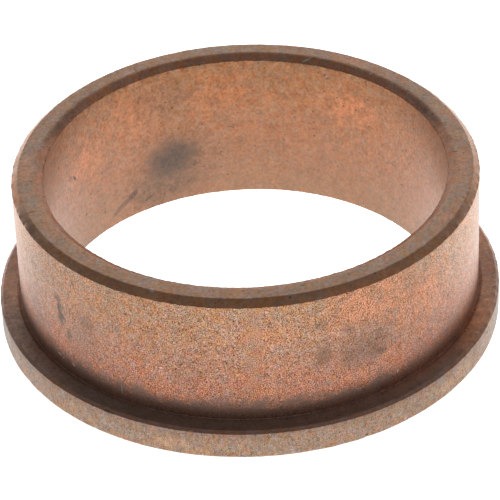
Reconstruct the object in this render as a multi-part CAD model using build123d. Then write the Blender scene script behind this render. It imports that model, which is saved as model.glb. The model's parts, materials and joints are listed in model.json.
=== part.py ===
"""A sintered bronze sleeve bushing with a thrust flange.

The real part is a single piece: powder is pressed in a ring-shaped die, sintered and
sized, so the sleeve and its flange are one solid with nothing that comes apart.

Frame: the flange's outer face lies on Z = 0 with its centre at the origin, and +Z runs
along the bore towards the sleeve's free end.  Lengths are in millimetres.
"""
from build123d import *
import os

# Driving dimensions
BORE_DIAMETER = 38.0
SLEEVE_DIAMETER = 44.0
FLANGE_DIAMETER = 48.0
TOTAL_LENGTH = 16.0
FLANGE_THICKNESS = 3.0

# Chamfers at the sleeve's free end: the outer one leads the sleeve into its housing,
# the inner one leads the shaft into the bore.
LEAD_IN_RADIAL = 0.65
LEAD_IN_AXIAL = 0.60
BORE_CHAMFER_RADIAL = 0.72
BORE_CHAMFER_AXIAL = 0.46

# Small bevel round the flange's rim, on the side of the sleeve
RIM_BEVEL_RADIAL = 0.30
RIM_BEVEL_AXIAL = 0.24

# Small rounds that the die and the sizing press leave
ROOT_FILLET = 0.10
RIM_EDGE_ROUND = 0.30
BORE_EDGE_ROUND = 0.08

BORE_RADIUS = BORE_DIAMETER / 2
SLEEVE_RADIUS = SLEEVE_DIAMETER / 2
FLANGE_RADIUS = FLANGE_DIAMETER / 2


def half_section():
    """One side of the ring's section, from the bore out to the flange's rim."""
    bore_edge = (BORE_RADIUS, 0)
    flange_bottom = (FLANGE_RADIUS, 0)
    root = (SLEEVE_RADIUS, FLANGE_THICKNESS)
    rounds = {
        bore_edge: BORE_EDGE_ROUND,
        flange_bottom: RIM_EDGE_ROUND,
        root: ROOT_FILLET,
    }
    with BuildSketch(Plane.XZ) as section:
        with BuildLine():
            Polyline(
                bore_edge,
                flange_bottom,
                (FLANGE_RADIUS, FLANGE_THICKNESS - RIM_BEVEL_AXIAL),
                (FLANGE_RADIUS - RIM_BEVEL_RADIAL, FLANGE_THICKNESS),
                root,
                (SLEEVE_RADIUS, TOTAL_LENGTH - LEAD_IN_AXIAL),
                (SLEEVE_RADIUS - LEAD_IN_RADIAL, TOTAL_LENGTH),
                (BORE_RADIUS + BORE_CHAMFER_RADIAL, TOTAL_LENGTH),
                (BORE_RADIUS, TOTAL_LENGTH - BORE_CHAMFER_AXIAL),
                close=True,
            )
        make_face()
        for (radius, height), round_radius in rounds.items():
            corner = section.vertices().sort_by_distance((radius, height, 0))[0]
            fillet(corner, radius=round_radius)
    return section.sketch


def flanged_bushing():
    """The whole ring: the section swept once round the bore axis."""
    return revolve(half_section(), axis=Axis.Z, revolution_arc=360)


os.makedirs("parts", exist_ok=True)
export_step(flanged_bushing(), "parts/flanged_bushing.step")
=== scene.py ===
import json
import math

import bpy
import numpy as np
from mathutils import Matrix, Vector


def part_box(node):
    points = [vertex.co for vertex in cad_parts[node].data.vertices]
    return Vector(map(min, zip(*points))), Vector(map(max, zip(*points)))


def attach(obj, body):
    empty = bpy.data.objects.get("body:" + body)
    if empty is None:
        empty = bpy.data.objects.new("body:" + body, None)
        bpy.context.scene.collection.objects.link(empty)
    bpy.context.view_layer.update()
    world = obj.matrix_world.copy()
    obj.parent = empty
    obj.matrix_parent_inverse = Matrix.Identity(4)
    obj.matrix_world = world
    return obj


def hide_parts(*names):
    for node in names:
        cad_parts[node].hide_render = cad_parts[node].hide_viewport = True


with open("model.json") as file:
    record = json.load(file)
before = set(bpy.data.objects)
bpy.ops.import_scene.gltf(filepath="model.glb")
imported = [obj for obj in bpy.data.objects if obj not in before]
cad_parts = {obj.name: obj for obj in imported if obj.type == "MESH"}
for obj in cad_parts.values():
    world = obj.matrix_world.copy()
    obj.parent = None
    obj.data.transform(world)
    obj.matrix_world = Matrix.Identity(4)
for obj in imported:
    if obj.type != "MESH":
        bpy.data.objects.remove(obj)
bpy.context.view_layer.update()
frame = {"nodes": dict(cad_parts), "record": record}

NODE = "flanged_bushing"
MM = 0.001
FULL_TURN = 2 * math.pi

# The shallow dip that the die leaves on the flange, round the sleeve's foot
DIP_WIDTH = 0.37 * MM
DIP_DEPTH = 0.08 * MM

# ---------------------------------------------------------------- sizes, read from the frame

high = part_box(NODE)[1]
MOUNTS = {mount["name"]: mount for mount in frame["record"]["mounts"]}
LENGTH = high.z
FLANGE_RADIUS = high.x
FLANGE_TOP = MOUNTS["flange_seat"]["pos_m"][2]
SLEEVE_RADIUS = MOUNTS["housing_seat"]["dims"]["r_mm"] * MM
BORE_RADIUS = MOUNTS["shaft_bore"]["dims"]["r_mm"] * MM


def cad_points():
    """Radius and height of every point of the CAD node's mesh."""
    mesh = frame["nodes"][NODE].data
    points = np.empty(len(mesh.vertices) * 3)
    mesh.vertices.foreach_get("co", points)
    points = points.reshape(-1, 3)
    return np.hypot(points[:, 0], points[:, 1]), points[:, 2]


# Where the chamfers at the free end and the bevel on the rim begin and stop
cad_radius, cad_height = cad_points()
NEAR = 0.02 * MM
on_end = cad_radius[cad_height > LENGTH - NEAR]
END_INNER_RADIUS, END_OUTER_RADIUS = on_end.min(), on_end.max()
WALL_TOP = cad_height[abs(cad_radius - SLEEVE_RADIUS) < NEAR].max()
BORE_TOP = cad_height[abs(cad_radius - BORE_RADIUS) < NEAR].max()
RIM_TOP = cad_height[cad_radius > FLANGE_RADIUS - NEAR].max()
LEDGE_RADIUS = cad_radius[abs(cad_height - FLANGE_TOP) < NEAR].max()

# ---------------------------------------------------------------- the ring's mesh

POINTS_AROUND = 790
ARC_STEPS = 4

# Short steps at both ends of each straight run keep the flat faces shaded flat. A short run
# has one at each end, and a longer run has two.
BRACE = 0.05 * MM
SECOND_BRACE = 0.28 * MM
SHORT_RUN = 2 * MM

# Every corner of the section, from the bore's lower edge round to its upper one: name, radius,
# height, edge rounding, raggedness, then the zone that follows it and its point spacing.
CORNERS = [
    ("bore_foot", BORE_RADIUS, 0.0, 0.10 * MM, 0.006 * MM, "base", 1.0 * MM),
    ("flange_foot", FLANGE_RADIUS, 0.0, 0.30 * MM, 0.006 * MM, "rim", 0.40 * MM),
    ("rim_top", FLANGE_RADIUS, RIM_TOP, 0.06 * MM, 0.008 * MM, "bevel", 0.15 * MM),
    ("ledge_edge", LEDGE_RADIUS, FLANGE_TOP, 0.05 * MM, 0.008 * MM, "ledge", 0.33 * MM),
    ("dip_edge", SLEEVE_RADIUS + DIP_WIDTH, FLANGE_TOP, 0.06 * MM, 0.0, "dip", 0.16 * MM),
    ("root", SLEEVE_RADIUS, FLANGE_TOP - DIP_DEPTH, 0.05 * MM, 0.0, "wall", 0.80 * MM),
    ("wall_top", SLEEVE_RADIUS, WALL_TOP, 0.06 * MM, 0.008 * MM, "lead_in", 0.20 * MM),
    ("end_outer", END_OUTER_RADIUS, LENGTH, 0.25 * MM, 0.006 * MM, "end", 0.28 * MM),
    ("end_inner", END_INNER_RADIUS, LENGTH, 0.75 * MM, 0.004 * MM, "bore_chamfer", 0.20 * MM),
    ("bore_top", BORE_RADIUS, BORE_TOP, 0.10 * MM, 0.012 * MM, "bore", 1.0 * MM),
]
EDGES = {corner[0]: i for i, corner in enumerate(CORNERS)}
ZONES = [corner[5] for corner in CORNERS]
RAGGEDNESS = np.array([corner[4] for corner in CORNERS])

# How far from an edge its raggedness reaches, and how far the wall's upper edge wanders up
# and down along the metal
RAGGED_REACH = 0.20 * MM
WANDER = 0.020 * MM

# The unevenness of pressed powder: its wavelengths, how many waves make up each, and how far
# the slow and middle ones lift the surface
SLOW_WAVE = 9 * MM
MIDDLE_WAVE = 1.8 * MM
FINE_WAVE = 0.6 * MM
WAVES = 28
SLOW_LIFT = 0.006 * MM
MIDDLE_LIFT = 0.003 * MM
SEED = 7

# Along an edge the fine waves and a share of the middle ones add up, less a steady wear
MIDDLE_SHARE = 0.3
EDGE_WEAR = 0.5


def arc(before, corner, after, radius):
    """Points of the round that joins two straight runs, tangent to both."""
    into = (before - corner) / np.linalg.norm(before - corner)
    out = (after - corner) / np.linalg.norm(after - corner)
    half = math.acos(float(np.clip(into @ out, -1, 1))) / 2
    setback = radius / math.tan(half)
    centre = corner + (into + out) / np.linalg.norm(into + out) * radius / math.sin(half)
    first, last = corner + into * setback, corner + out * setback
    start = math.atan2(*(first - centre)[::-1])
    sweep = math.atan2(*(last - centre)[::-1]) - start
    sweep = (sweep + math.pi) % FULL_TURN - math.pi
    angles = start + sweep * np.linspace(0, 1, ARC_STEPS + 1)
    return centre + radius * np.column_stack([np.cos(angles), np.sin(angles)])


def steps_along(length, spacing):
    """Where a straight run has its points, as fractions of its length."""
    if length < SHORT_RUN:
        runs = max(1, round((length - 2 * BRACE) / spacing))
        return np.linspace(BRACE, length - BRACE, runs + 1) / length
    runs = round((length - 2 * SECOND_BRACE) / spacing)
    inner = np.linspace(SECOND_BRACE, length - SECOND_BRACE, runs + 1)
    return np.concatenate([[BRACE], inner, [length - BRACE]]) / length


def section():
    """The section's loop of points, the zone share of each, and its distance from each edge."""
    corners = [np.array(corner[1:3]) for corner in CORNERS]
    count = len(corners)
    arcs = [
        arc(corners[i - 1], corners[i], corners[(i + 1) % count], CORNERS[i][3])
        for i in range(count)
    ]
    points, shares, middles = [], [], []
    for i, spacing in enumerate(corner[6] for corner in CORNERS):
        middles.append(len(points) + ARC_STEPS // 2)
        for step, point in enumerate(arcs[i]):
            share = np.zeros(count)
            share[i] = step / ARC_STEPS
            share[i - 1] = 1 - step / ARC_STEPS
            points.append(point)
            shares.append(share)
        first, last = arcs[i][-1], arcs[(i + 1) % count][0]
        for along in steps_along(float(np.linalg.norm(last - first)), spacing):
            points.append(first + (last - first) * along)
            shares.append(np.eye(count)[i])
    points = np.array(points)
    steps = np.linalg.norm(np.roll(points, -1, axis=0) - points, axis=1)
    along = np.concatenate([[0], np.cumsum(steps)[:-1]])
    total = steps.sum()
    gap = abs(along[:, None] - along[middles][None, :])
    return points, np.array(shares), np.minimum(gap, total - gap)


def outward(points):
    """Unit normals of the section's loop, pointing out of the metal."""
    tangent = np.roll(points, -1, axis=0) - np.roll(points, 1, axis=0)
    normal = np.column_stack([tangent[:, 1], -tangent[:, 0]])
    return normal / np.linalg.norm(normal, axis=1, keepdims=True)


def unevenness(points, wavelength, random):
    """A smooth random height for each point, about 1 either way on average."""
    ways = random.normal(size=(WAVES, 3))
    ways /= np.linalg.norm(ways, axis=1, keepdims=True)
    ways *= (FULL_TURN / wavelength * random.uniform(0.6, 1.5, WAVES))[:, None]
    phases = random.uniform(0, FULL_TURN, WAVES)
    return np.cos(points @ ways.T + phases).sum(axis=1) * math.sqrt(2 / WAVES)


# Knocks on the edges: edge, azimuth in degrees, width round the ring, width across, depth
NICKS = [
    ("wall_top", -23.5, 0.30 * MM, 0.14 * MM, 0.055 * MM),
    ("wall_top", -31.0, 0.34 * MM, 0.09 * MM, 0.025 * MM),
    ("wall_top", 17.5, 0.50 * MM, 0.14 * MM, 0.060 * MM),
    ("wall_top", 23.0, 0.44 * MM, 0.14 * MM, 0.060 * MM),
    ("wall_top", 25.0, 0.30 * MM, 0.10 * MM, 0.030 * MM),
    ("wall_top", 28.5, 0.36 * MM, 0.09 * MM, 0.025 * MM),
    ("wall_top", 118.0, 0.50 * MM, 0.14 * MM, 0.050 * MM),
    ("wall_top", 203.0, 0.40 * MM, 0.12 * MM, 0.040 * MM),
    ("rim_top", -33.5, 0.60 * MM, 0.14 * MM, 0.035 * MM),
    ("rim_top", 141.0, 0.45 * MM, 0.16 * MM, 0.050 * MM),
    ("flange_foot", 25.0, 0.18 * MM, 0.22 * MM, 0.050 * MM),
    ("flange_foot", 96.0, 0.40 * MM, 0.26 * MM, 0.060 * MM),
    ("flange_foot", 231.0, 0.35 * MM, 0.26 * MM, 0.050 * MM),
    ("end_outer", -72.0, 0.16 * MM, 0.20 * MM, 0.015 * MM),
]


def azimuths():
    """The angle of each step round the ring: 0 faces -Y and 90 faces +X."""
    return np.arange(POINTS_AROUND) * FULL_TURN / POINTS_AROUND


# Places are an azimuth in degrees, a radius and a height in millimetres.  Half sizes are
# round the ring, radially and upwards.  The tilt leans a mark's top round the ring.
WALL = SLEEVE_RADIUS / MM
BORE = BORE_RADIUS / MM
RIM = FLANGE_RADIUS / MM
TOP = LENGTH / MM
LEDGE = FLANGE_TOP / MM

# Soft patches: azimuth, radius, height, half sizes, strength.  First rusty orange ones.
RUST = [
    (70.0, 23.0, LEDGE, (9.5, 2.0, 1.0), 0.80),
    (104.0, 23.2, LEDGE, (5.0, 1.6, 1.0), 0.50),
    (-86.0, 23.0, LEDGE, (5.0, 2.0, 1.0), 0.35),
    (205.0, 23.0, LEDGE, (6.0, 2.0, 1.0), 0.40),
    (-92.0, 20.6, TOP, (3.0, 1.1, 0.8), 0.60),
    (-60.0, 20.3, TOP, (2.6, 0.6, 0.8), 0.40),
    (62.0, 20.8, TOP, (4.0, 0.8, 0.8), 0.50),
    (148.0, 20.6, TOP, (4.0, 0.8, 0.8), 0.40),
    (84.0, 20.4, TOP, (4.0, 0.9, 0.8), 0.45),
    (108.0, 20.9, TOP, (3.0, 0.7, 0.8), 0.40),
    (52.0, RIM, 1.2, (5.0, 1.0, 1.4), 0.40),
    (-20.0, RIM, 1.0, (4.0, 1.0, 1.2), 0.35),
    (30.0, WALL, 5.6, (9.0, 1.0, 1.8), 0.20),
    (4.0, WALL, 5.2, (7.0, 1.0, 1.6), 0.30),
    (-24.0, WALL, 5.0, (6.0, 1.0, 1.4), 0.28),
    (45.0, WALL, 11.4, (5.5, 1.0, 3.6), 0.55),
    (29.0, WALL, 13.6, (10.0, 1.0, 3.8), 0.65),
    (2.0, WALL, 12.4, (6.0, 1.0, 2.0), 0.25),
    (236.0, BORE, 9.5, (4.0, 1.0, 3.0), 0.55),
    (213.0, BORE, 12.0, (7.0, 1.0, 3.6), 0.45),
    (146.0, BORE, 11.5, (7.0, 1.0, 3.0), 0.50),
    (186.0, BORE, 12.0, (8.0, 1.0, 3.2), 0.35),
    (-140.0, WALL, 12.0, (5.0, 1.0, 2.2), 0.35),
    (70.0, BORE, 9.0, (5.0, 1.0, 2.8), 0.35),
]

# Then dull brown-grey ones, where the surface has tarnished. The two on the rim at either side are
# painted shade that dims its grazing reflection.
TARNISH_AND_SHADE = [
    (-64.0, WALL, 8.5, (4.0, 1.0, 6.0), 0.40),
    (-44.0, WALL, 8.6, (3.4, 1.0, 3.4), 0.40),
    (-58.0, WALL, 12.5, (5.0, 1.0, 2.4), 0.30),
    (28.0, WALL, 9.6, (5.0, 1.0, 3.2), 0.38),
    (16.5, WALL, 9.6, (2.0, 1.0, 2.8), 0.35),
    (-14.0, WALL, 9.0, (8.0, 1.0, 3.0), 0.20),
    (104.0, WALL, 9.0, (2.6, 1.0, 3.2), 0.50),
    (151.0, WALL, 11.0, (3.6, 1.0, 2.6), 0.50),
    (170.0, BORE, 3.8, (5.5, 1.5, 3.0), 0.25),
    (156.0, BORE, 3.2, (4.0, 1.5, 2.4), 0.20),
    (206.0, BORE, 2.6, (11.0, 1.5, 5.5), 1.10),
    (201.0, BORE, 5.5, (8.0, 1.5, 5.0), 0.95),
    (206.0, BORE, 12.0, (6.0, 1.5, 4.0), 0.60),
    (126.0, BORE, 3.0, (6.0, 1.5, 3.0), 0.12),
    (20.0, BORE, 7.5, (4.2, 1.0, 4.0), 0.35),
    (-60.0, BORE, 5.0, (3.4, 1.0, 4.0), 0.35),
    (8.5, 20.8, TOP, (2.4, 0.5, 0.8), 0.60),
    (-72.0, 23.0, LEDGE, (11.0, 2.0, 1.0), 0.85),
    (-67.0, 21.7, TOP - 0.3, (8.0, 0.8, 0.8), 0.90),
    (243.0, 19.4, TOP - 0.2, (7.0, 0.8, 0.8), 0.85),
    (117.0, 19.4, TOP - 0.2, (7.0, 0.8, 0.8), 0.95),
    (64.0, 21.7, TOP - 0.3, (6.0, 0.8, 0.8), 0.45),
    (-30.0, RIM, 1.4, (5.0, 1.0, 1.2), 0.35),
    (38.0, RIM, 1.2, (4.0, 1.0, 1.2), 0.15),
    (180.0, RIM, 1.2, (8.0, 1.0, 1.4), 0.40),
    # Painted shade: these two darken the rim at either side, dimming its grazing reflection
    (-82.0, RIM, 1.3, (7.0, 2.0, 4.0), 0.65),
    (82.0, RIM, 1.3, (7.0, 2.0, 4.0), 0.75),
]


def on_ring(degrees, radius, height):
    """The point at an azimuth: 0 faces -Y and 90 faces +X."""
    turn = math.radians(degrees)
    return radius * math.sin(turn), -radius * math.cos(turn), height


def patchiness(place, table):
    """The share of a table's patches at each point: the strongest one that reaches it."""
    total = np.zeros(len(place))
    for degrees, radius, height, half_sizes, strength in table:
        turn = math.radians(degrees)
        away = place / MM - on_ring(degrees, radius, height)
        around = away[:, 0] * math.cos(turn) + away[:, 1] * math.sin(turn)
        outwards = away[:, 0] * math.sin(turn) - away[:, 1] * math.cos(turn)
        local = np.stack([around, outwards, away[:, 2]], axis=-1) / half_sizes
        inside = np.clip(1 - np.linalg.norm(local, axis=1), 0, 1)
        total = np.maximum(total, strength * inside * inside * (3 - 2 * inside))
    return total


def around_axis(radius, height, turn):
    """Places for a radius and a height at every step round the ring."""
    x = radius * np.sin(turn)[:, None]
    y = radius * -np.cos(turn)[:, None]
    return np.stack([x, y, height], axis=-1)


def cut_knocks(lift, turn, from_edge):
    """Take the knocks on the edges out of the surface's lift."""
    for edge, degrees, wide, across, depth in NICKS:
        away = (turn - math.radians(degrees) + math.pi) % FULL_TURN - math.pi
        sideways = np.exp(-((away * SLEEVE_RADIUS / wide) ** 2))
        lengthways = np.exp(-((from_edge[:, EDGES[edge]] / across) ** 2))
        lift -= depth * sideways[:, None] * lengthways[None, :]


def ring_faces(across_count):
    """The four corners of every face, with both directions closed into loops."""
    around, across = np.meshgrid(
        np.arange(POINTS_AROUND), np.arange(across_count), indexing="ij"
    )
    next_around, next_across = (around + 1) % POINTS_AROUND, (across + 1) % across_count
    return np.stack([
        around * across_count + across,
        next_around * across_count + across,
        next_around * across_count + next_across,
        around * across_count + next_across,
    ], axis=-1).reshape(-1, 4)


def give_attributes(mesh, shares, flat):
    """Store each point's share of every zone, of rust, and of tarnish with painted shade."""
    for i, zone in enumerate(ZONES):
        share = mesh.attributes.new("zone_" + zone, "FLOAT", "POINT")
        share.data.foreach_set("value", np.tile(shares[:, i], POINTS_AROUND))
    for name, table in (("rust", RUST), ("tarnish_and_shade", TARNISH_AND_SHADE)):
        patches = mesh.attributes.new(name, "FLOAT", "POINT")
        patches.data.foreach_set("value", patchiness(flat, table))


def bushing_mesh():
    """The whole ring, with soft edges, small knocks and the unevenness of pressed powder."""
    points, shares, from_edge = section()
    normals = outward(points)
    turn = azimuths()
    radius = np.repeat(points[None, :, 0], POINTS_AROUND, axis=0)
    height = np.repeat(points[None, :, 1], POINTS_AROUND, axis=0)
    flat = around_axis(radius, height, turn).reshape(-1, 3)

    random = np.random.default_rng(SEED)
    slow = unevenness(flat, SLOW_WAVE, random).reshape(radius.shape)
    middle = unevenness(flat, MIDDLE_WAVE, random).reshape(radius.shape)
    fine = unevenness(flat, FINE_WAVE, random).reshape(radius.shape)
    rough = MIDDLE_SHARE * middle + fine
    near_edge = np.exp(-((from_edge / RAGGED_REACH) ** 2))
    ragged = (RAGGEDNESS * near_edge).max(axis=1)
    lift = SLOW_LIFT * slow + MIDDLE_LIFT * middle
    lift = lift + ragged[None, :] * (rough - EDGE_WEAR)
    cut_knocks(lift, turn, from_edge)

    # Nothing bulges out of the base, so the part still stands flat
    base = shares[:, ZONES.index("base")]
    lift = np.where(base[None, :] > 0.5, np.minimum(lift, 0), lift)
    radius = radius + lift * normals[None, :, 0]
    height = height + lift * normals[None, :, 1]
    height += WANDER * near_edge[None, :, EDGES["wall_top"]] * rough
    place = around_axis(radius, height, turn)

    mesh = bpy.data.meshes.new("bronze_bushing")
    faces = ring_faces(len(points))
    mesh.from_pydata(place.reshape(-1, 3).tolist(), [], faces.tolist())
    mesh.polygons.foreach_set("use_smooth", [True] * len(faces))
    give_attributes(mesh, shares, flat)
    mesh.update()
    mesh.validate()
    return mesh


# ---------------------------------------------------------------- material


class Graph:
    """Adds shader nodes with short calls, most of which return the new node's output."""

    def __init__(self, tree):
        self.tree = tree
        tree.nodes.clear()

    def node(self, kind, values=None, **settings):
        """Add a node with its settings and inputs, and return the node itself."""
        made = self.tree.nodes.new(kind)
        for name, value in settings.items():
            setattr(made, name, value)
        for key, value in (values or {}).items():
            self.feed(made.inputs[key], value)
        return made

    def feed(self, socket, value):
        """Link a socket to the output given, or set it to a plain value."""
        if isinstance(value, bpy.types.NodeSocket):
            self.tree.links.new(value, socket)
        else:
            socket.default_value = value

    def math(self, operation, *values, clamp=False):
        made = self.node("ShaderNodeMath", operation=operation, use_clamp=clamp)
        for socket, value in zip(made.inputs, values):
            self.feed(socket, value)
        return made.outputs[0]

    def vector(self, operation, *values):
        made = self.node("ShaderNodeVectorMath", operation=operation)
        for socket, value in zip(made.inputs, values):
            self.feed(socket, value)
        return made.outputs["Value" if operation in ("LENGTH", "DOT_PRODUCT") else "Vector"]

    def noise(self, place, scale, detail=2.0, rough=0.5):
        values = {"Vector": place, "Scale": scale, "Detail": detail, "Roughness": rough}
        return self.node("ShaderNodeTexNoise", values).outputs["Fac"]

    def spread(self, value, start, stop, to_start=0.0, to_stop=1.0, smooth=True):
        kind = "SMOOTHSTEP" if smooth else "LINEAR"
        values = {"Value": value, "From Min": start, "From Max": stop,
                  "To Min": to_start, "To Max": to_stop}
        return self.node("ShaderNodeMapRange", values, interpolation_type=kind).outputs[0]

    def blend(self, share, first, second, how="MIX"):
        made = self.node("ShaderNodeMix", data_type="RGBA", blend_type=how)
        for socket, value in ((0, share), (6, first), (7, second)):
            self.feed(made.inputs[socket], value)
        return made.outputs[2]

    def attribute(self, name):
        return self.node("ShaderNodeAttribute", attribute_name=name).outputs["Fac"]

    def share(self, zone):
        return self.attribute("zone_" + zone)


# Colours of the metal, factors that tint it, then colours of what lies on it
MEAN = (0.42, 0.235, 0.15, 1)
PINK = (0.40, 0.245, 0.175, 1)
ORANGE = (0.46, 0.225, 0.115, 1)
GREY = (0.33, 0.255, 0.20, 1)
PINK_CAST = (1.04, 0.955, 1.03, 1)
GREEN_CAST = (0.96, 1.045, 0.95, 1)
LOW_CAST = (1.05, 0.84, 0.85, 1)
HIGH_CAST = (1.06, 1.05, 0.99, 1)
RUST_COLOUR = (0.64, 0.262, 0.135, 1)
# Tarnish, and painted shade on the rim's sides
TARNISH_AND_SHADE_COLOUR = (0.225, 0.15, 0.112, 1)
STAIN_COLOUR = (0.08, 0.055, 0.043, 1)
# Painted shade: the colour of the bore's dark foot, deep in the hole
BORE_FOOT_COLOUR = (0.19, 0.13, 0.078, 1)
# Painted shade: the colour that darkens the sleeve above the flange
FOOT_SHADE_COLOUR = (0.165, 0.105, 0.082, 1)
# Painted reflection: greyer colours for the front of the ledge, standing in for the dull
# reflection it shows from in front
PAINTED_LEDGE_INNER = (0.52, 0.475, 0.42, 1)
PAINTED_LEDGE_OUTER = (0.45, 0.41, 0.365, 1)
PAINTED_LEDGE_RIGHT = (0.70, 0.50, 0.40, 1)
PIT_COLOUR = (0.05, 0.03, 0.025, 1)
FLECK_COLOUR = (0.75, 0.68, 0.62, 1)

# How strong each part of the look is. The rim has a share of the wall's grain, and the rest
# of the ring is calm: it keeps a share of the grain's depth and nears the mean colour.
GREY_SHARE = 0.40
RIM_GRAIN = 0.45
CALM_GRAIN = 0.13
CALM_MEAN = 0.05
GRAIN_DEPTH = 4.45
GRAIN_SCALE = 11.0
COARSE_DEPTH = 0.20
MOTTLE_DEPTH = 0.13
STREAK_DEPTH = 0.16
BORE_CONTRAST = 0.30
# Painted shade: how dark the sleeve is painted above the flange, and how much less at the right
FOOT_SHADE = 0.80
FOOT_SHADE_AT_RIGHT = 0.5
# How much darker the rim is high up
RIM_DARKENING = 0.28
# Painted shade: how dark the bore is painted at its foot
BORE_FOOT = 0.60
STREAK_SCALE = 4.0
STREAK_STRETCH = (1, 1, 0.25)
PORE_SCALE = 1.7
PORE_RADIUS = 0.20
PORE_SHARE = 0.6
BUMP_HEIGHT = 0.012 * MM
ROUGHNESS = (0.49, 0.41)
RIM_ROUGHER = 0.12

# How much of a mark's half size is at full strength, and how far noise moves its outline
STAIN_CORE = 0.25
SCRATCH_CORE = 0.5
FLECK_CORE = 0.6
STAIN_RAGGED = (2.2, 2.2, 2.2)
SCRATCH_RAGGED = (0.35, 0.35, 0.35)

# How far the noises move the upper edges of the painted shade above the flange and of the bore's
# painted dark foot
FOOT_SHADE_DRIFT = 3.0
FOOT_SHADE_MOTTLE = 4.0
FOOT_DRIFT = 5.0

# How much of the grain each channel takes
GRAIN_CHANNELS = {"Red": 0.85, "Green": 1.05, "Blue": 1.30}

# Where parts of the look begin and end, in millimetres
CAST_HEIGHTS = (4.0, 15.0)
# Where the painted reflection on the front of the ledge begins and ends
PAINT_FROM_MIDDLE_TO_FRONT = (-8.0, -19.0)
PAINT_FROM_LEFT_TO_RIGHT = (2.0, 18.0)
PAINT_RADII = (22.6, 23.6)
# Where the painted shade on the sleeve above the flange begins and ends
FOOT_SHADE_ABOVE_FLANGE = (2.9, 0.8)
FOOT_SHADE_ROOT = (LEDGE, LEDGE + 0.9)
FOOT_SHADE_FROM_LEFT_TO_RIGHT = (9.0, 19.0)
# Where the rim is darker high up
RIM_DARKENING_HEIGHTS = (1.5, 2.7)
# Where the bore's painted shade at its foot begins and ends
BORE_FOOT_HEIGHTS = (14.0, 0.5)

# Noises: offset in millimetres, scale, detail and roughness. No two share an offset, so that
# their patterns don't line up.
NOISES = {
    "hue": ((31, 7, 3), 1.3, 2.0, 0.6),
    "drift": ((3, 17, 11), 0.40, 3.0, 0.6),
    "cast": ((5, 41, 23), 2.6, 2.0, 0.6),
    "coarse": ((9, 2, 29), 3.2, 2.0, 0.6),
    "mottle": ((13, 5, 37), 0.9, 3.0, 0.65),
}

# How each zone's bronze differs from the sleeve's wall: red, green and blue factors
TINTS = {
    "base": (0.85, 1.10, 1.20, 1),
    "rim": (0.92, 1.33, 1.45, 1),
    "bevel": (0.94, 1.14, 1.30, 1),
    "ledge": (0.98, 1.10, 1.12, 1),
    "dip": (0.98, 1.10, 1.12, 1),
    "lead_in": (1.15, 1.07, 1.04, 1),
    "end": (1.175, 1.29, 1.46, 1),
    "bore_chamfer": (1.26, 1.10, 1.13, 1),
    "bore": (0.83, 0.70, 0.545, 1),
}

# Dark stains: azimuth, radius, height, half sizes, tilt, strength
STAINS = [
    (-52.5, WALL, 9.7, (0.75, 1.0, 2.6), -8, 0.90),
    (-49.0, WALL, 7.6, (0.60, 1.0, 0.9), 0, 0.60),
    (-43.0, WALL, 10.0, (1.5, 1.0, 1.3), 0, 0.30),
    (31.0, WALL, 7.7, (1.6, 1.0, 0.9), 8, 0.60),
    (27.0, WALL, 8.4, (4.2, 1.0, 2.6), 0, 0.36),
    (17.0, WALL, 8.9, (1.1, 1.0, 1.8), 15, 0.45),
    (16.0, WALL, 12.6, (1.0, 1.0, 0.8), 0, 0.35),
    (23.0, WALL, 11.4, (1.0, 1.0, 0.9), 0, 0.35),
    (36.0, WALL, 11.3, (0.9, 1.0, 0.7), 0, 0.28),
    (43.0, WALL, 13.2, (1.2, 1.0, 1.0), 0, 0.15),
    (171.0, WALL, 6.4, (1.1, 1.0, 0.9), 0, 0.65),
    (226.0, WALL, 9.8, (0.6, 1.0, 2.2), 10, 0.60),
    (203.0, BORE, 5.1, (4.0, 1.5, 3.3), 10, 0.85),
    (204.0, BORE, 4.9, (2.8, 1.5, 2.0), 0, 0.97),
    (204.0, BORE, 2.4, (7.5, 1.5, 3.4), 0, 0.30),
    (195.5, BORE, 4.1, (0.60, 1.0, 0.55), 0, 0.80),
]

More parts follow.
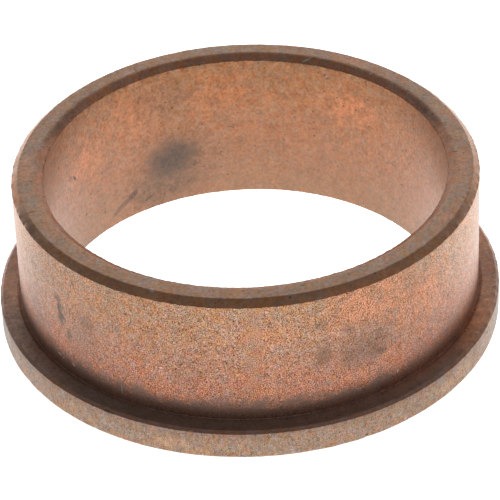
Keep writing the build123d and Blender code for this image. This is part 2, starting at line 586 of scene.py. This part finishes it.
# Short dark scratches, pits and chips, as for the stains
SCRATCHES = [
    (-46.5, WALL, 13.75, (0.09, 0.5, 0.80), -25, 0.75),
    (-29.5, WALL, 12.1, (0.08, 0.5, 0.65), 20, 0.50),
    (-11.0, WALL, 7.0, (0.12, 0.5, 0.12), 0, 0.90),
    (-48.5, WALL, 12.2, (0.14, 0.5, 0.16), 0, 0.55),
    (-3.0, WALL, 12.9, (0.11, 0.5, 0.11), 0, 0.60),
    (44.0, WALL, 12.0, (0.11, 0.5, 0.12), 0, 0.70),
    (-73.5, RIM, 0.6, (0.28, 0.5, 0.20), 0, 0.90),
    (-70.5, RIM, 0.5, (0.18, 0.5, 0.14), 0, 0.60),
    (25.0, RIM, 0.5, (0.20, 0.5, 0.17), 0, 0.90),
    (67.5, RIM, 2.05, (0.26, 0.5, 0.20), 0, 0.80),
    (-33.5, RIM, 2.75, (0.9, 0.5, 0.16), 0, 0.55),
    (220.5, BORE, 1.9, (1.9, 0.5, 0.42), 24, 0.50),
    (217.0, BORE, 2.5, (1.0, 0.5, 0.48), 30, 0.60),
    (223.5, BORE, 1.4, (0.6, 0.5, 0.26), 24, 0.50),
    (211.0, BORE, 1.45, (0.8, 0.5, 0.20), 25, 0.55),
    (241.5, BORE, 9.0, (0.22, 0.5, 0.60), 35, 0.85),
    (243.5, BORE, 9.5, (0.16, 0.5, 0.22), 0, 0.70),
    (251.0, BORE, 12.1, (0.16, 0.5, 0.30), 20, 0.65),
    (126.0, BORE, 5.3, (0.18, 0.5, 0.14), 0, 0.90),
    (125.0, BORE, 5.3, (0.18, 0.5, 0.12), 0, 0.60),
    (154.5, BORE, 14.7, (0.18, 0.5, 0.18), 0, 0.85),
    (153.5, BORE, 14.3, (0.26, 0.5, 0.16), 0, 0.60),
    (184.0, BORE, 7.8, (0.60, 0.5, 0.10), -20, 0.50),
    (187.0, BORE, 8.6, (0.50, 0.5, 0.08), 25, 0.40),
    (-71.5, 20.9, TOP, (0.09, 0.50, 0.5), 0, 0.85),
    (-149.0, 20.3, TOP, (0.08, 0.45, 0.5), 0, 0.70),
    (92.0, 19.8, TOP, (0.09, 0.40, 0.5), 0, 0.80),
    (132.0, WALL, 8.2, (0.10, 0.5, 0.90), 30, 0.60),
    (196.0, WALL, 12.0, (0.70, 0.5, 0.09), 12, 0.55),
    (240.0, WALL, 6.0, (0.13, 0.5, 0.13), 0, 0.80),
]

# Bright flecks and scratches that show bare metal, as for the stains
FLECKS = [
    (-54.0, WALL, 4.3, (0.30, 0.5, 0.09), 0, 0.80),
    (-52.5, WALL, 4.2, (0.12, 0.5, 0.10), 0, 0.80),
    (-48.5, WALL, 4.15, (0.26, 0.5, 0.10), 10, 0.70),
    (-33.0, WALL, 4.2, (0.06, 0.5, 0.80), 0, 0.30),
    (37.0, WALL, 4.4, (0.07, 0.5, 0.26), 12, 0.85),
    (-22.0, WALL, 8.0, (0.20, 0.5, 0.14), 0, 0.55),
    (-24.0, 21.4, TOP, (0.30, 0.16, 0.5), 0, 0.60),
    (-146.5, 20.1, TOP, (0.80, 0.10, 0.5), 0, 0.40),
    (140.0, 19.6, TOP, (0.22, 0.12, 0.5), 0, 0.60),
    (160.5, 19.4, TOP - 0.23, (0.56, 0.6, 0.07), 22, 0.85),
    (187.0, WALL, 4.6, (0.07, 0.5, 0.30), 10, 0.60),
    (-14.0, RIM, 2.8, (0.35, 0.5, 0.05), 0, 0.55),
    (88.0, BORE, 9.0, (0.06, 0.5, 0.50), 30, 0.50),
]


def marks(g, place, table, core):
    """The share of a table's marks at each point: the strongest one that reaches it."""
    total = 0.0
    for degrees, radius, height, half_sizes, tilt, strength in table:
        mapping = g.node("ShaderNodeMapping", {
            "Vector": place,
            "Location": on_ring(degrees, radius, height),
            "Rotation": (0, math.radians(tilt), math.radians(degrees)),
            "Scale": half_sizes,
        }, vector_type="TEXTURE")
        away = g.vector("LENGTH", mapping.outputs[0])
        total = g.math("MAXIMUM", g.spread(away, 1.0, core, 0.0, strength), total)
    return total


def named_noise(g, mm, name):
    """One of the table's noises, read at its own offset."""
    offset, scale, detail, rough = NOISES[name]
    return g.noise(g.vector("ADD", mm, offset), scale, detail, rough)


def pressed_metal(g, mm, height):
    """Patches of pink and orange metal, with a slower drift towards grey."""
    hue = named_noise(g, mm, "hue")
    colour = g.blend(g.spread(hue, 0.36, 0.64), PINK, ORANGE)
    drift = named_noise(g, mm, "drift")
    colour = g.blend(g.spread(drift, 0.45, 0.75, 0, GREY_SHARE), colour, GREY)
    green = named_noise(g, mm, "cast")
    cast = g.blend(g.spread(green, 0.36, 0.64), PINK_CAST, GREEN_CAST)
    colour = g.blend(1.0, colour, cast, "MULTIPLY")
    lively = g.math("MULTIPLY_ADD", g.share("rim"), RIM_GRAIN, g.share("wall"))
    calm = g.math("SUBTRACT", 1.0, lively)
    colour = g.blend(g.math("MULTIPLY", calm, CALM_MEAN), colour, MEAN)
    higher = g.spread(height, *CAST_HEIGHTS)
    colour = g.blend(1.0, colour, g.blend(higher, LOW_CAST, HIGH_CAST), "MULTIPLY")
    return colour, hue, drift, calm


def zone_tint(g):
    """The factors of the zone that each point belongs to."""
    tint = (1, 1, 1, 1)
    for zone, factors in TINTS.items():
        tint = g.blend(g.share(zone), tint, factors)
    return tint


def painted_ledge_reflection(g, colour, mm, across, front):
    """Painted reflection on the front of the ledge: greyer metal standing in for the dull
    reflection it shows from in front, warmer towards the right.
    """
    ledge = g.math("ADD", g.share("ledge"), g.share("dip"))
    reflecting = g.math("MULTIPLY", g.spread(front, *PAINT_FROM_MIDDLE_TO_FRONT), ledge)
    from_axis = g.vector("LENGTH", g.vector("MULTIPLY", mm, (1, 1, 0)))
    reflection = g.blend(g.spread(across, *PAINT_FROM_LEFT_TO_RIGHT), PAINTED_LEDGE_INNER, PAINTED_LEDGE_RIGHT)
    reflection = g.blend(g.spread(from_axis, *PAINT_RADII), reflection, PAINTED_LEDGE_OUTER)
    return g.blend(reflecting, colour, reflection)


def powder_grain(g, mm, calm):
    """Factors for the powder's grain and for the upright streaks that the die left on the rim."""
    grain = g.noise(mm, GRAIN_SCALE, 1.0, 0.6)
    depth = g.spread(calm, 0.0, 1.0, GRAIN_DEPTH, CALM_GRAIN * GRAIN_DEPTH, smooth=False)
    value = g.math("MULTIPLY", g.math("SUBTRACT", grain, 0.5), depth)
    coarse = named_noise(g, mm, "coarse")
    rise = g.spread(coarse, 0.25, 0.75, -COARSE_DEPTH, COARSE_DEPTH, smooth=False)
    value = g.math("ADD", value, rise)
    mottle = named_noise(g, mm, "mottle")
    rise = g.spread(mottle, 0.3, 0.7, -MOTTLE_DEPTH, MOTTLE_DEPTH, smooth=False)
    value = g.math("ADD", value, rise)
    streak = g.noise(g.vector("MULTIPLY", mm, STREAK_STRETCH), STREAK_SCALE, 2.0, 0.6)
    streak = g.spread(streak, 0.25, 0.75, -STREAK_DEPTH, STREAK_DEPTH, smooth=False)
    value = g.math("ADD", value, g.math("MULTIPLY", streak, g.share("rim")))
    contrast = g.math("MULTIPLY_ADD", g.share("bore"), BORE_CONTRAST, 1.0)
    value = g.math("MULTIPLY", value, contrast)
    factors = {
        channel: g.math("MULTIPLY_ADD", value, amount, 1.0)
        for channel, amount in GRAIN_CHANNELS.items()
    }
    factors = g.node("ShaderNodeCombineColor", factors).outputs[0]
    return factors, grain, coarse, mottle


def rust_tarnish_and_shade(g, colour, shade, hue, mottle):
    """Rusty and tarnished patches, which keep the metal's own grain and tint. The tarnish at the
    rim's sides is painted shade.
    """
    rust = g.math("MULTIPLY", g.attribute("rust"), g.spread(mottle, 0.30, 0.60, 0.4, 1.4))
    colour = g.blend(rust, colour, g.blend(1.0, RUST_COLOUR, shade, "MULTIPLY"))
    tarnish_and_shade = g.attribute("tarnish_and_shade")
    patchy = g.spread(hue, 0.35, 0.65, 0.45, 1.15)
    even = g.math("MULTIPLY_ADD", g.share("bore"), -0.35, 1.0)
    dull = g.math("MULTIPLY", tarnish_and_shade, g.math("POWER", patchy, even), clamp=True)
    colour = g.blend(dull, colour, g.blend(1.0, TARNISH_AND_SHADE_COLOUR, shade, "MULTIPLY"))
    return colour, tarnish_and_shade


def foot_shade_and_dark_rim(g, colour, across, height, drift, mottle):
    """Painted shade up the sleeve from the flange, for the corner's shade and dark reflection, and
    a darker band high on the rim.
    """
    reach = g.math("MULTIPLY", g.math("SUBTRACT", drift, 0.5), FOOT_SHADE_DRIFT)
    reach = g.math("MULTIPLY_ADD", g.math("SUBTRACT", mottle, 0.5), FOOT_SHADE_MOTTLE, reach)
    above = g.math("SUBTRACT", g.math("SUBTRACT", height, LEDGE), reach)
    darkening = g.math("MULTIPLY", g.spread(above, *FOOT_SHADE_ABOVE_FLANGE, 0.0, FOOT_SHADE), g.share("wall"))
    darkening = g.math("MULTIPLY", darkening, g.spread(height, *FOOT_SHADE_ROOT, 0.65, 1.0))
    thinner = g.spread(across, *FOOT_SHADE_FROM_LEFT_TO_RIGHT, 1.0, FOOT_SHADE_AT_RIGHT)
    darkening = g.math("MULTIPLY", darkening, thinner)
    high_on_rim = g.math("MULTIPLY", g.spread(height, *RIM_DARKENING_HEIGHTS, 0.0, RIM_DARKENING), g.share("rim"))
    darkening = g.math("ADD", darkening, high_on_rim)
    return g.blend(darkening, colour, FOOT_SHADE_COLOUR)


def bore_foot(g, colour, height, drift, tarnish_and_shade):
    """Painted shade: the bore darkens towards its foot, deep in the hole, and less so where it is
    tarnished already.
    """
    reach = g.math("MULTIPLY_ADD", g.math("SUBTRACT", drift, 0.5), FOOT_DRIFT, height)
    foot = g.math("MULTIPLY", g.spread(reach, *BORE_FOOT_HEIGHTS, 0.0, BORE_FOOT), g.share("bore"))
    foot = g.math("MULTIPLY", foot, g.math("SUBTRACT", 1.0, tarnish_and_shade, clamp=True))
    return g.blend(foot, colour, BORE_FOOT_COLOUR)


def stains_and_scratches(g, colour, mm, coarse):
    """Stains with ragged outlines, then fine scratches, pits and flecks."""
    wander = g.node("ShaderNodeTexNoise", {"Vector": mm, "Scale": 1.3, "Detail": 3.0})
    offset = g.vector("SUBTRACT", wander.outputs["Color"], (0.5, 0.5, 0.5))
    ragged = g.vector("ADD", mm, g.vector("MULTIPLY", offset, STAIN_RAGGED))
    stain = marks(g, ragged, STAINS, STAIN_CORE)
    stain = g.math("MULTIPLY", stain, g.spread(coarse, 0.30, 0.70, 0.65, 1.25), clamp=True)
    colour = g.blend(stain, colour, STAIN_COLOUR)
    jittered = g.vector("ADD", mm, g.vector("MULTIPLY", offset, SCRATCH_RAGGED))
    scratch = marks(g, jittered, SCRATCHES, SCRATCH_CORE)
    scratch = g.math("MULTIPLY", scratch, g.spread(coarse, 0.35, 0.65, 0.55, 1.25), clamp=True)
    colour = g.blend(scratch, colour, PIT_COLOUR)
    return g.blend(marks(g, jittered, FLECKS, FLECK_CORE), colour, FLECK_COLOUR)


def open_pores(g, colour, mm):
    """Scattered open pores: a dark dot, of any size up to the largest, in half of the cells."""
    cells = g.node("ShaderNodeTexVoronoi", {"Vector": mm, "Scale": PORE_SCALE})
    pick = g.node("ShaderNodeSeparateColor", {"Color": cells.outputs["Color"]}).outputs[0]
    radius = g.spread(pick, 0.50, 1.0, 0.0, PORE_RADIUS, smooth=False)
    pore = g.math("LESS_THAN", cells.outputs["Distance"], radius)
    return g.blend(g.math("MULTIPLY", pore, PORE_SHARE), colour, PIT_COLOUR)


def bronze():
    """Sintered bronze with powder grain, pores, rust, tarnish, stains and scratches, and painted
    shade and reflection.
    """
    material = bpy.data.materials.new("sintered_bronze_grain")
    material.use_nodes = True
    g = Graph(material.node_tree)

    here = g.node("ShaderNodeTexCoord").outputs["Object"]
    mm = g.vector("MULTIPLY", here, (1 / MM,) * 3)
    across, front, height = g.node("ShaderNodeSeparateXYZ", {"Vector": mm}).outputs

    colour, hue, drift, calm = pressed_metal(g, mm, height)
    tint = zone_tint(g)
    colour = g.blend(1.0, colour, tint, "MULTIPLY")
    # Painted reflection: the front of the ledge is painted a greyer metal
    colour = painted_ledge_reflection(g, colour, mm, across, front)
    factors, grain, coarse, mottle = powder_grain(g, mm, calm)
    colour = g.blend(1.0, colour, factors, "MULTIPLY")
    shade = g.blend(1.0, tint, factors, "MULTIPLY")
    # Rust and tarnish, with painted shade on the rim's sides
    colour, tarnish_and_shade = rust_tarnish_and_shade(g, colour, shade, hue, mottle)
    # Painted shade on the sleeve above the flange, and a darker band high on the rim
    colour = foot_shade_and_dark_rim(g, colour, across, height, drift, mottle)
    # Painted shade deep in the bore, towards its foot
    colour = bore_foot(g, colour, height, drift, tarnish_and_shade)
    colour = stains_and_scratches(g, colour, mm, coarse)
    colour = open_pores(g, colour, mm)

    bump = g.node("ShaderNodeBump", {"Strength": 1.0, "Distance": BUMP_HEIGHT, "Height": grain})
    rough = g.spread(coarse, 0.3, 0.7, *ROUGHNESS)
    rough = g.math("MULTIPLY_ADD", g.share("rim"), RIM_ROUGHER, rough)
    shader = g.node("ShaderNodeBsdfPrincipled", {
        "Base Color": colour, "Metallic": 1.0, "Roughness": rough, "Normal": bump.outputs[0],
        "Coat Weight": 0.42, "Coat Roughness": 0.32, "Coat IOR": 1.5,
    })
    output = g.node("ShaderNodeOutputMaterial")
    g.tree.links.new(shader.outputs[0], output.inputs["Surface"])
    return material


# ---------------------------------------------------------------- studio

CAMERA_ELEVATION = math.radians(35.5)
CAMERA_LEAN = math.radians(2.24)
CAMERA_DISTANCE = 0.2843
CAMERA_AIM = Vector((0.007 * SLEEVE_RADIUS, 0, 0.376 * LENGTH))
CAMERA_LENS = 213.7
SENSOR_WIDTH = 36


def camera():
    """A long lens from in front and above, leaning a little to one side."""
    data = bpy.data.cameras.new("camera")
    data.lens = CAMERA_LENS
    data.sensor_width = SENSOR_WIDTH
    back = Vector((0, -math.cos(CAMERA_ELEVATION), math.sin(CAMERA_ELEVATION)))
    right = Vector((1, 0, 0))
    up = back.cross(right)
    turned_right = right * math.cos(CAMERA_LEAN) - up * math.sin(CAMERA_LEAN)
    turned_up = right * math.sin(CAMERA_LEAN) + up * math.cos(CAMERA_LEAN)
    made = bpy.data.objects.new("camera", data)
    turned = Matrix((turned_right, turned_up, back)).transposed().to_4x4()
    made.matrix_world = Matrix.Translation(CAMERA_AIM + back * CAMERA_DISTANCE) @ turned
    data.clip_start, data.clip_end = 0.01, 20
    bpy.context.scene.collection.objects.link(made)
    bpy.context.scene.camera = made


FLOOR_HALF = 3.0
FLOOR_ALBEDO = 0.4
# Painted shadow and light on the floor: a dimmer glow in front of the part, where its shadow would
# fall, and a brighter one behind
FRONT_GLOW = 1.12
BACK_GLOW = 1.80
SIDE_GLOW = 0.89
FRONT_TO_BACK = (-0.6 * SLEEVE_RADIUS, 0.62 * SLEEVE_RADIUS)
MIDDLE_TO_SIDE = (0.5 * SLEEVE_RADIUS, 1.3 * SLEEVE_RADIUS)


def floor():
    """A white light table with painted shadow and light: dimmer in front of the part, brightest at
    the back right and dimmer out at the sides.
    """
    mesh = bpy.data.meshes.new("floor")
    signs = [(-1, -1), (1, -1), (1, 1), (-1, 1)]
    corners = [(x * FLOOR_HALF, y * FLOOR_HALF, 0) for x, y in signs]
    mesh.from_pydata(corners, [], [(0, 1, 2, 3)])
    made = bpy.data.objects.new("floor", mesh)
    bpy.context.scene.collection.objects.link(made)
    material = bpy.data.materials.new("floor_white")
    material.use_nodes = True
    g = Graph(material.node_tree)
    here = g.node("ShaderNodeTexCoord").outputs["Object"]
    rise = g.vector("DOT_PRODUCT", here, (0.15, 1.0, 0.0))
    # Painted shadow: the glow dims in front of the part
    glow = g.spread(rise, *FRONT_TO_BACK, FRONT_GLOW, BACK_GLOW)
    across = g.math("ABSOLUTE", g.node("ShaderNodeSeparateXYZ", {"Vector": here}).outputs["X"])
    sides = g.spread(across, *MIDDLE_TO_SIDE, 1.0, SIDE_GLOW)
    glow = g.math("MULTIPLY", glow, sides)
    shader = g.node("ShaderNodeBsdfPrincipled", {
        "Base Color": (FLOOR_ALBEDO,) * 3 + (1,), "Roughness": 1.0, "Specular IOR Level": 0.0,
        "Emission Color": (1, 1, 1, 1), "Emission Strength": glow,
    })
    output = g.node("ShaderNodeOutputMaterial")
    g.tree.links.new(shader.outputs[0], output.inputs["Surface"])
    mesh.materials.append(material)


# How strong the room's light is in front and behind, how much it gains towards the right,
# and how high above the horizon its bright band reaches
DIM_LIGHT = 0.19
BRIGHT_LIGHT = 0.75
GAIN_TO_RIGHT = 0.05
BAND_HEIGHT = 0.16


def soft_room():
    """Soft light from all round: bright behind the part and along the horizon, dim in front."""
    world = bpy.data.worlds.new("soft_room")
    world.use_nodes = True
    bpy.context.scene.world = world
    g = Graph(world.node_tree)
    way = g.node("ShaderNodeTexCoord").outputs["Generated"]
    axes = g.node("ShaderNodeSeparateXYZ", {"Vector": way})
    level = g.spread(axes.outputs["Y"], 0.50, 0.85, DIM_LIGHT, BRIGHT_LIGHT)
    level = g.math("MULTIPLY_ADD", axes.outputs["X"], GAIN_TO_RIGHT, level)
    horizon = g.spread(axes.outputs["Z"], BAND_HEIGHT, 0.0)
    level = g.math("MAXIMUM", level, horizon)
    background = g.node("ShaderNodeBackground", {"Color": (1, 1, 1, 1), "Strength": level})
    output = g.node("ShaderNodeOutputWorld")
    g.tree.links.new(background.outputs[0], output.inputs["Surface"])


camera()
floor()
soft_room()

bushing = bpy.data.objects.new("bronze_bushing", bushing_mesh())
bpy.context.scene.collection.objects.link(bushing)
bushing.data.materials.append(bronze())
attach(bushing, "root")
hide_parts(NODE)

settings = bpy.context.scene.view_settings
settings.view_transform = "Standard"
settings.look = "None"
